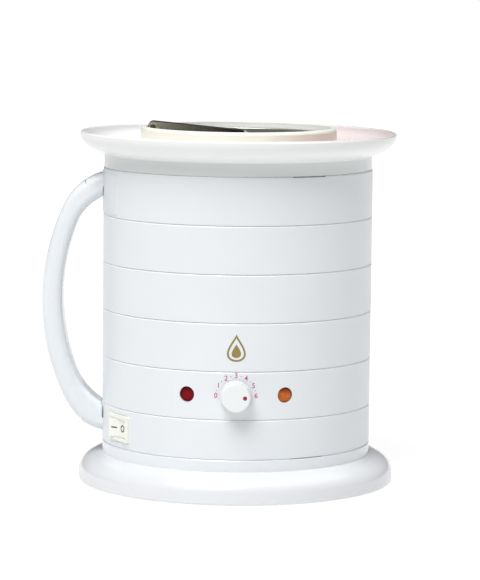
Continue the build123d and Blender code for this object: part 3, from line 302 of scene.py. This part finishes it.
POT_ALUMINIUM = (0.70, 0.72, 0.66)
FLANGE_SHINE = (0.46, 0.43, 0.35)
FLANGE_DARK = (0.03, 0.024, 0.014)
TOP_SHADE = (0.012, 0.008, 0.004)
TIP_HIGHLIGHT = (0.80, 0.77, 0.68)
FLANGE_X = (-47 * MM, -2 * MM)  # the folding handle's flanges darken between these, as their painted shine fades
TIP_X = (2.6 * MM, 3.4 * MM)  # and the painted highlight on its tip starts between these
TOP_FACING = (0.3, 0.75)  # faces that look up this much are the folding handle's top

BRIGHT_STEEL = (0.66, 0.62, 0.54)
DARK_STEEL = (0.16, 0.15, 0.10)
SHEET_STEEL = (0.60, 0.61, 0.61)
ZINC = (0.64, 0.66, 0.68)
BRASS = (0.72, 0.52, 0.22)
COPPER = (0.70, 0.34, 0.20)
NYLON = (0.78, 0.76, 0.68)
BLACK = (0.03, 0.03, 0.032)
PLATE_GREY = (0.62, 0.64, 0.66)
RUBBER_TONES = ((0.03, 0.03, 0.032, 1), (0.07, 0.07, 0.07, 1))
WOOL_TONES = ((0.72, 0.70, 0.62, 1), (0.90, 0.88, 0.82, 1))
MICA_TONES = ((0.36, 0.29, 0.20, 1), (0.50, 0.44, 0.36, 1))
GLASS_TONES = ((0.95, 0.80, 0.72, 1), (0.98, 0.92, 0.88, 1))


def shell_plastic():
    """The barrel and brackets: cool white, painted shade in the grooves, painted highlights on the
    groove edges.
    """
    surface = Surface("shell_plastic", IOR=1.45, Coat_Weight=0.05, Coat_Roughness=0.25)
    colour, rough, normal = moulded(surface, SHELL_WHITE, 0.34)
    # painted shade: the deepest part of each groove is darkened as if in shadow
    shade_from, shade_full = (barrel_r - depth for depth in GROOVE_SHADE_DEPTH)
    inset = surface.ramp(surface.radius(), shade_full, shade_from, 1, 0)
    shade_unevenness = surface.ramp(surface.noise(300, detail=5), 0.35, 0.7, 0.55, 1.0)
    colour = surface.blend(surface.math("MULTIPLY", inset, shade_unevenness), colour, opaque(GROOVE_SHADE))
    # painted highlight: the sloped lower face of each groove, which faces up, is lightened as if
    # lit
    chamfer = surface.band(surface.radius(), barrel_r - CHAMFER_DEPTH, CHAMFER_HALF, CHAMFER_SOFT)
    colour = surface.blend(chamfer, colour, opaque(CHAMFER_HIGHLIGHT))
    level_scratches = surface.ramp(surface.noise(40, detail=8, stretch=(1, 1, 26)), 0.66, 0.72)
    rough = surface.math("ADD", rough, level_scratches)
    return surface.finish(colour, rough, normal)


def grip_plastic():
    """The mug handle: the barrel's white, polished by hands at the middle of its height."""
    surface = Surface("grip_plastic", IOR=1.49, Coat_Weight=0.3, Coat_Roughness=0.12)
    colour, rough, normal = moulded(surface, SHELL_WHITE, 0.26)
    held = surface.band(surface.axis("Z"), HELD_Z, HELD_HALF, HELD_SOFT)
    rough = surface.math("SUBTRACT", rough, surface.math("MULTIPLY", held, 0.08))
    return surface.finish(colour, rough, normal)


def base_plastic():
    """The base skirt: a white flare, scuffed below, under a collar in the barrel's white."""
    surface = Surface("base_plastic", IOR=1.49, Coat_Weight=0.35, Coat_Roughness=0.1)
    colour, rough, normal = moulded(surface, BASE_WHITE, 0.24, wear=0.04)
    collar = surface.ramp(surface.axis("Z"), *BASE_COLLAR_Z)
    colour = surface.blend(collar, colour, opaque(SHELL_WHITE))
    low = surface.ramp(surface.axis("Z"), *SCUFF_Z, 1.0, 0.0)
    marks = surface.ramp(surface.noise(120, detail=7), 0.35, 0.8, 0.0, 0.5)
    scuff = surface.math("MULTIPLY", low, marks)
    colour = surface.blend(scuff, colour, opaque(SCUFF_GREY))
    rough = surface.math("ADD", rough, surface.math("MULTIPLY", scuff, 0.3))
    return surface.finish(colour, rough, normal)


def dish_plastic():
    """The drip dish: faintly see-through white, a whiter inside as painted light, a pink tint
    inside right, a greyer collar as painted shade.
    """
    surface = Surface(
        "dish_plastic",
        IOR=1.45,
        Coat_Weight=0.1,
        Coat_Roughness=0.08,
        Subsurface_Weight=0.06,
        Subsurface_Radius=(0.006, 0.005, 0.004),
        Subsurface_Scale=0.5,
    )
    colour, rough, normal = moulded(surface, DISH_WHITE, 0.22, wear=0.04)
    inside = surface.ramp(surface.facing("Z"), *INSIDE_FACING)
    # painted light: the up-facing inside is made whiter than the rest, as if lit from above
    colour = surface.blend(inside, colour, opaque(DISH_INSIDE_LIT))
    # a pink tint on the inside, thinning outwards and stronger to the right
    reach = surface.ramp(surface.radius(), *PINK_R, 1.0, PINK_THIN)
    right = surface.ramp(surface.axis("X"), *PINK_X)
    patchy = surface.ramp(surface.noise(70), 0.2, 0.8, 0.75, 1.0)
    pink_share = surface.math("MULTIPLY", surface.math("MULTIPLY", inside, reach), right)
    pink_share = surface.math("MULTIPLY", pink_share, patchy)
    colour = surface.blend(pink_share, colour, opaque(SALMON_TINT))
    # painted shade: the collar under the dish's overhang is greyed as if in its shadow
    collar = surface.ramp(surface.radius(), *DISH_COLLAR_R, 1.0, 0.0)
    under = surface.ramp(surface.axis("Z"), *DISH_COLLAR_Z, 1.0, 0.0)
    colour = surface.blend(surface.math("MULTIPLY", collar, under), colour, opaque(COLLAR_SHADE))
    return surface.finish(colour, rough, normal)


def ring_plastic():
    """The inner ring: cream heat-proof plastic, with painted light making it paler on its crown
    and in its mouth.
    """
    surface = Surface("ring_plastic", IOR=1.5, Coat_Weight=0.1, Coat_Roughness=0.2)
    colour, rough, normal = moulded(surface, RING_CREAM, 0.36)
    # painted highlight: the lit crown is paler
    crown = surface.ramp(surface.axis("Z"), *CROWN_Z)
    colour = surface.blend(crown, colour, opaque(CROWN_HIGHLIGHT))
    # painted light: the inner wall is paler to make up for its shade
    mouth = surface.ramp(surface.radius(), *MOUTH_R, 1.0, 0.0)
    colour = surface.blend(mouth, colour, opaque(MOUTH_LIGHT))
    return surface.finish(colour, rough, normal)


def plain_plastic(name, colour, roughness, coat=0.2, grain=FINE_GRAIN):
    """A moulded part in one colour; coat is how much of a clear gloss lies on it."""
    surface = Surface(name, IOR=1.49, Coat_Weight=coat, Coat_Roughness=0.12)
    return surface.finish(*moulded(surface, colour, roughness, grain))


def lens_plastic(name, colour, deep):
    """A pilot lamp's lens: tinted plastic with fine prisms, with a painted shadow under its upper
    edge.
    """
    surface = Surface(name, IOR=1.49, Specular_IOR_Level=0.12)
    mottle = surface.ramp(surface.noise(500), 0.35, 0.65)
    # painted shadow: the upper part of the recessed lens is darkened as if shaded by the hole's
    # edge
    brow_shadow = surface.ramp(surface.axis("Z"), *(dial_z + height for height in BROW_SHADOW_OVER_DIAL))
    tint = surface.blend(surface.math("MULTIPLY", mottle, 0.4), opaque(colour), opaque(deep))
    tint = surface.blend(brow_shadow, tint, opaque(deep))
    rough = surface.ramp(surface.noise(160, detail=4), *NOISE_SPAN, 0.06, 0.16)
    prisms = surface.node("ShaderNodeTexVoronoi")
    surface.feed(prisms.inputs["Vector"], surface.place)
    prisms.inputs["Scale"].default_value = PRISM_GRAIN
    normal = surface.bump(prisms.outputs["Distance"], depth=0.15 * MM, strength=0.25)
    return surface.finish(tint, rough, normal)


def pot_aluminium():
    """Drawn and spun sheet: fine rings round the axis, with dull wax-stained patches."""
    surface = Surface("pot_aluminium", Metallic=0.92, Anisotropic=0.45)
    rings = surface.noise(2600, detail=2, stretch=(0.02, 0.02, 1.0))
    stain = surface.ramp(surface.noise(45, detail=5), 0.42, 0.68, 0.0, 0.1)
    tint = surface.blend(stain, opaque(POT_ALUMINIUM), shade(POT_ALUMINIUM, 0.72))
    rough = surface.math("ADD", surface.ramp(rings, *NOISE_SPAN, 0.27, 0.39), stain)
    return surface.finish(tint, rough, surface.bump(rings, BRUSH_DEPTH, BRUSH_STRENGTH))


def brushed_metal(name, colour, roughness, stretch=(1, 12, 12)):
    """Flat or turned metal with a fine lengthwise brush and small rubbed spots."""
    surface = Surface(name, Metallic=1.0)
    spots = surface.ramp(surface.noise(260, detail=6), 0.55, 0.7)
    tint = surface.blend(spots, opaque(colour), shade(colour, 0.8))
    rough, normal = brushed(surface, roughness, 0.1, stretch)
    rough = surface.math("ADD", rough, surface.math("MULTIPLY", spots, 0.1))
    return surface.finish(tint, rough, normal)


def handle_steel():
    """The folding handle: painted shade on its top, flanges that darken to the right as their
    painted shine fades, a painted highlight on its tip.
    """
    surface = Surface("handle_steel", Metallic=0.7, Specular_IOR_Level=0.2)
    # painted shine: the flanges are lighter at the pivot end and dark towards the tip
    along = surface.ramp(surface.axis("X"), *FLANGE_X)
    flange = surface.blend(along, opaque(FLANGE_SHINE), opaque(FLANGE_DARK))
    # painted shade: the up-facing top of the channel is darkened
    top = surface.ramp(surface.facing("Z"), *TOP_FACING)
    colour = surface.blend(top, flange, opaque(TOP_SHADE))
    # painted highlight on the curled tip
    tip = surface.ramp(surface.axis("X"), *TIP_X)
    colour = surface.blend(tip, colour, opaque(TIP_HIGHLIGHT))
    rough, normal = brushed(surface, 0.24, 0.12)
    rough = surface.math("ADD", rough, surface.math("MULTIPLY", top, 0.15))
    return surface.finish(colour, rough, normal)


def rubber():
    """The foot ring: black rubber with pale flecks and a rough skin."""
    surface = Surface("foot_rubber", IOR=1.52)
    fleck = surface.ramp(surface.noise(900, detail=4), 0.4, 0.7)
    colour = surface.blend(fleck, *RUBBER_TONES)
    rough = surface.ramp(surface.noise(150, detail=4), *NOISE_SPAN, 0.6, 0.85)
    return surface.finish(colour, rough, surface.bump(surface.noise(1500), 0.05 * MM, 0.6))


def wool():
    """The insulation sleeve: off-white needled felt."""
    surface = Surface("mineral_wool", IOR=1.45, Sheen_Weight=0.4)
    fibre = surface.noise(900, detail=8, stretch=(1, 1, 4))
    colour = surface.blend(fibre, *WOOL_TONES)
    return surface.finish(colour, 0.95, surface.bump(fibre, 0.8 * MM, 0.9))


def mica():
    """The band heater: mica sheets in a steel skin, heat-tinted."""
    surface = Surface("mica_band", Metallic=0.6)
    tint = surface.ramp(surface.noise(40, detail=4), 0.35, 0.65)
    colour = surface.blend(tint, *MICA_TONES)
    rough = surface.ramp(surface.noise(300, detail=4), *NOISE_SPAN, 0.35, 0.6)
    return surface.finish(colour, rough, surface.bump(surface.noise(600), 0.05 * MM, 0.5))


def ink(name, colour, metallic=0.0):
    """Screen-printed ink: slightly uneven cover, matt or metallic."""
    surface = Surface(name, Metallic=metallic)
    cover = surface.ramp(surface.noise(2200, detail=4), 0.3, 0.75)
    thin = opaque(channel * 1.25 + 0.02 for channel in colour)
    tint = surface.blend(cover, opaque(colour), thin)
    rough = surface.ramp(cover, 0, 1, 0.4, 0.55)
    return surface.finish(tint, rough, surface.bump(cover, 0.01 * MM, 0.3))


def bulb_glass():
    """The neon bulbs: faintly pink glass with a haze."""
    surface = Surface("bulb_glass", IOR=1.5, Transmission_Weight=0.9)
    haze = surface.ramp(surface.noise(300, detail=4), 0.4, 0.7)
    colour = surface.blend(haze, *GLASS_TONES)
    rough = surface.ramp(haze, 0, 1, 0.03, 0.12)
    return surface.finish(colour, rough, surface.bump(haze, 0.02 * MM, 0.2))


finishes = {
    shell_plastic(): ("body_shell", "handle_upper_bracket", "handle_lower_bracket"),
    grip_plastic(): ("handle_grip",),
    base_plastic(): ("base_skirt",),
    dish_plastic(): ("drip_dish",),
    ring_plastic(): ("inner_ring",),
    plain_plastic("knob_plastic", KNOB_WHITE, 0.26): ("control_knob",),
    plain_plastic("dot_plastic", DOT_RED, 0.4, coat=0.0): ("pointer_dot",),
    plain_plastic("switch_plastic", IVORY, 0.24): ("switch_housing", "switch_rocker"),
    lens_plastic("red_lens", LENS_RED, LENS_RED_DEEP): ("red_lens",),
    lens_plastic("amber_lens", LENS_AMBER, LENS_AMBER_DEEP): ("amber_lens",),
    plain_plastic("lamp_nylon", NYLON, 0.5): (
        "red_lamp_holder",
        "amber_lamp_holder",
        "terminal_block",
    ),
    bulb_glass(): ("neon_bulbs",),
    pot_aluminium(): ("wax_container", "heating_well"),
    handle_steel(): ("folding_handle",),
    brushed_metal("bracket_steel", BRIGHT_STEEL, 0.22): (
        "hinge_bracket",
        "thermostat_spindle",
        "heater_clamp",
        "clamp_screw",
        "thermal_cutout",
    ),
    brushed_metal("pin_steel", DARK_STEEL, 0.3): ("hinge_pin", "bracket_rivets"),
    brushed_metal("shield_steel", SHEET_STEEL, 0.3, stretch=(12, 12, 1)): ("heat_shield",),
    brushed_metal("screw_zinc", ZINC, 0.32): ("base_screws", "handle_screws"),
    brushed_metal("brass", BRASS, 0.28): (
        "switch_terminals",
        "terminal_screws",
        "thermostat_nut",
    ),
    brushed_metal("copper", COPPER, 0.3): ("sensor_bulb",),
    plain_plastic("black_moulding", BLACK, 0.45, coat=0.0): (
        "thermostat",
        "cord_gland",
        "gland_nut",
    ),
    plain_plastic("plate_plastic", PLATE_GREY, 0.5, coat=0.0, grain=COARSE_GRAIN): ("base_plate",),
    rubber(): ("foot_ring",),
    mica(): ("heater_band",),
    wool(): ("insulation_sleeve",),
}
for material, names in finishes.items():
    for name in names:
        nodes[name].data.materials.clear()
        nodes[name].data.materials.append(material)

# ---- Printed marks ------------------------------------------------------------------

PRINT_LIFT = 0.02 * MM  # the gap between a mark and the surface it is printed on
PRINT_DEPTH = 0.03 * MM
DIGIT_HIGH = 2.9 * MM
DIGIT_FONT = DIGIT_HIGH * 1.35  # the font size that gives digits of that height
DIGIT_BOLD = 0.03 * MM  # the digits' outlines are moved out this far
DIAL_R = 10.9 * MM
DIAL_STEPS = 6
DOT_R = 0.24 * MM
DOT_POINTS = 12

magenta = ink("magenta_ink", (0.52, 0.04, 0.22))
gold = ink("gold_ink", (0.30, 0.23, 0.06), metallic=0.4)
grey = ink("grey_ink", (0.10, 0.10, 0.085))


def on_barrel(across, height, lift):
    """A point at an arc length to the right of the front and a height, off the barrel."""
    turn = across / barrel_r
    reach = barrel_r + PRINT_LIFT + lift
    return Vector((reach * sin(turn), -reach * cos(turn), height))


def add_piece(name, shape, material, body):
    """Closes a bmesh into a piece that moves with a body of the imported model."""
    bmesh.ops.recalc_face_normals(shape, faces=shape.faces)
    mesh = bpy.data.meshes.new(name)
    shape.to_mesh(mesh)
    shape.free()
    mesh.materials.append(material)
    piece = bpy.data.objects.new(name, mesh)
    bpy.context.scene.collection.objects.link(piece)
    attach(piece, body)


def printed_prism(shape, outline, place):
    """A thin closed prism over an outline of flat points, laid down by place(u, v, lift)."""
    layers = [
        [shape.verts.new(place(u, v, lift)) for u, v in outline] for lift in (0.0, PRINT_DEPTH)
    ]
    shape.faces.new(layers[0])
    shape.faces.new(layers[1])
    for i in range(len(outline)):
        j = (i + 1) % len(outline)
        shape.faces.new((layers[0][i], layers[0][j], layers[1][j], layers[1][i]))


def printed_band(shape, outer, inner, place):
    """The same between two closed outlines with as many points."""
    count = len(outer)
    rings = [
        [shape.verts.new(place(u, v, lift)) for u, v in line]
        for line, lift in ((outer, 0.0), (outer, PRINT_DEPTH), (inner, PRINT_DEPTH), (inner, 0.0))
    ]
    for k in range(4):
        for i in range(count):
            j = (i + 1) % count
            first, second = rings[k], rings[(k + 1) % 4]
            shape.faces.new((first[i], first[j], second[j], second[i]))


def circle_outline(centre, radius, count):
    """Evenly spaced points on a circle."""
    return [
        (centre[0] + radius * cos(tau * i / count), centre[1] + radius * sin(tau * i / count))
        for i in range(count)
    ]


def digit_mesh(text):
    """A digit of the built-in font, lying flat and a little thick, centred."""
    curve = bpy.data.curves.new("digit", "FONT")
    curve.body = text
    curve.size = DIGIT_FONT
    curve.offset = DIGIT_BOLD
    curve.extrude = PRINT_DEPTH / 2
    curve.align_x = "CENTER"
    curve.align_y = "CENTER"
    holder = bpy.data.objects.new("digit", curve)
    bpy.context.scene.collection.objects.link(holder)
    bpy.context.view_layer.update()
    seen = holder.evaluated_get(bpy.context.evaluated_depsgraph_get())
    mesh = bpy.data.meshes.new_from_object(seen)
    bpy.data.objects.remove(holder)
    return mesh


def add_dial():
    """The 0 to 6 scale over the knob, upright digits with a dot between each two."""
    shape = bmesh.new()
    for step in range(DIAL_STEPS + 1):
        turn = pi - step * pi / DIAL_STEPS
        centre = (DIAL_R * cos(turn), dial_z + DIAL_R * sin(turn))
        before = len(shape.verts)
        shape.from_mesh(digit_mesh(str(step)))
        shape.verts.ensure_lookup_table()
        for vert in shape.verts[before:]:
            flat = vert.co.copy()
            vert.co = on_barrel(centre[0] + flat.x, centre[1] + flat.y, flat.z + PRINT_DEPTH / 2)
    for step in range(DIAL_STEPS):
        turn = pi - (step + 0.5) * pi / DIAL_STEPS
        centre = (DIAL_R * cos(turn), dial_z + DIAL_R * sin(turn))
        printed_prism(shape, circle_outline(centre, DOT_R, DOT_POINTS), on_barrel)
    add_piece("dial_scale", shape, magenta, "housing")


DROP_Z = 84.0 * MM
DROP_HIGH = 15.0 * MM
DROP_FULLNESS = 0.98
DROP_TAPER = 1.6
DROP_POINTS = 40
DROP_HOLLOW = (0.8, 0.5 * MM)  # the size of the outline's inner edge, and how far it sinks
DROP_CORE = (0.5, 1.6 * MM)


def drop_outline(scale, sink=0.0):
    """A falling drop: round below, drawn out to a point above."""
    half = DROP_HIGH / 2 * scale
    points = []
    for i in range(DROP_POINTS):
        t = tau * (i + 0.5) / DROP_POINTS
        width = half * DROP_FULLNESS * sin(t) * sin(t / 2) ** DROP_TAPER
        points.append((width, DROP_Z - sink + half * cos(t)))
    return points


def add_drop_mark():
    """A plain wax-drop pictogram on the front of the barrel."""
    shape = bmesh.new()
    printed_band(shape, drop_outline(1.0), drop_outline(*DROP_HOLLOW), on_barrel)
    printed_prism(shape, drop_outline(*DROP_CORE), on_barrel)
    add_piece("drop_mark", shape, gold, "housing")


ROCKER_TURN = radians(-139)  # the way the switch faces, seen from above
FACE_MIDDLE = 3.7 * MM  # from the pivot to the middle of half of the face, along it
FACE_OUT = 3.75 * MM  # and outwards
FACE_SLOPE = atan(1.3 / 7.4)  # each half of the face rises 1.3 mm over its 7.4 mm
BAR_LONG = 4.2 * MM
BAR_HIGH = 0.8 * MM
RING_OUTER_R = 2.05 * MM
RING_INNER_R = 1.2 * MM
RING_POINTS = 32


def on_rocker(side):
    """Lays points on one half of the rocker's hollow face: side -1 is left, 1 is right."""
    pivot = Vector(joints["rocker_tip"]["pos_m"])
    along = Vector((-sin(ROCKER_TURN), cos(ROCKER_TURN), 0))
    out = Vector((cos(ROCKER_TURN), sin(ROCKER_TURN), 0))
    middle = pivot + along * side * FACE_MIDDLE + out * FACE_OUT
    face_along = along * cos(FACE_SLOPE) + out * side * sin(FACE_SLOPE)
    face_out = out * cos(FACE_SLOPE) - along * side * sin(FACE_SLOPE)

    def place(u, v, lift):
        return middle + face_along * u + Vector((0, 0, v)) + face_out * (lift + PRINT_LIFT)

    return place


def add_switch_marks():
    """The usual bar and ring of a rocker switch."""
    shape = bmesh.new()
    half_long, half_high = BAR_LONG / 2, BAR_HIGH / 2
    bar = [
        (-half_long, -half_high),
        (half_long, -half_high),
        (half_long, half_high),
        (-half_long, half_high),
    ]
    printed_prism(shape, bar, on_rocker(-1))
    outer = circle_outline((0, 0), RING_OUTER_R, RING_POINTS)
    inner = circle_outline((0, 0), RING_INNER_R, RING_POINTS)
    printed_band(shape, outer, inner, on_rocker(1))
    add_piece("switch_marks", shape, grey, "rocker")


# ---- The scene ----------------------------------------------------------------------

FLOOR_HALF = 16.0
FLOOR_CELLS = 8
FLOOR_TONES = ((0.15, 0.15, 0.15, 1), (0.17, 0.17, 0.17, 1))
FLOOR_GLOW = 0.86


def add_floor():
    """A wide pale floor panel, lit from inside as in a product studio."""
    surface = Surface(
        "floor_panel", IOR=1.3, Emission_Strength=FLOOR_GLOW, Emission_Color=(1, 1, 1, 1)
    )
    colour = surface.blend(surface.noise(2), *FLOOR_TONES)
    grain = surface.bump(surface.noise(400, detail=2), depth=0.05 * MM, strength=0.2)
    material = surface.finish(colour, 0.9, grain)
    shape = bmesh.new()
    bmesh.ops.create_grid(
        shape, x_segments=FLOOR_CELLS, y_segments=FLOOR_CELLS, size=FLOOR_HALF
    )
    mesh = bpy.data.meshes.new("floor")
    shape.to_mesh(mesh)
    shape.free()
    mesh.materials.append(material)
    floor = bpy.data.objects.new("floor", mesh)
    bpy.context.scene.collection.objects.link(floor)


add_camera()
add_floor()
add_world(colour=(0.985, 0.99, 1.0), strength=0.2)
add_sun("top", place=(0.22, 0.1, 1.0), spread=70, strength=1.2)
add_sun("key", place=(-0.45, -0.85, 1.5), spread=34, strength=2.4)
bpy.context.scene.view_settings.view_transform = "Standard"

add_dial()
add_drop_mark()
add_switch_marks()
